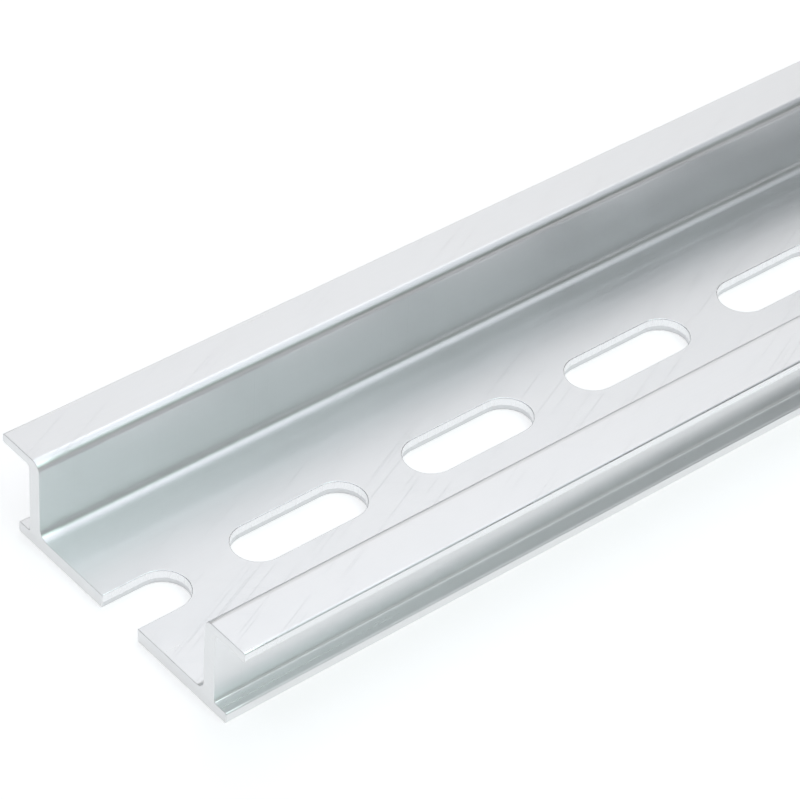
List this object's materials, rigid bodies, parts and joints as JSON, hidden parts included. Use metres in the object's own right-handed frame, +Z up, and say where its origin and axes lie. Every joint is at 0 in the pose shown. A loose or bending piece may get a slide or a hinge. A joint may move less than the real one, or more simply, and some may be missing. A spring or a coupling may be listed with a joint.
{
  "type": "mounting rail",
  "caption": "Slotted top-hat mounting rail in satin aluminium, a shallow open channel with out-turned flanges that control modules clip onto.",
  "frame": {"origin": "middle of the underside, halfway along the rail and midway between the flanges, on the panel that the rail is screwed to", "axes": "+X along the rail, +Y across it, +Z up out of the panel, the way the channel opens"},
  "size_m": [0.2, 0.035, 0.01],
  "materials": {
    "aluminium": "satin, clear anodised extrusion with fine lines along its length; bare metal on the sawn ends and in the punched slots"
  },
  "bodies": {
    "root": {"mounting_rail": "aluminium"}
  },
  "joints": []
}
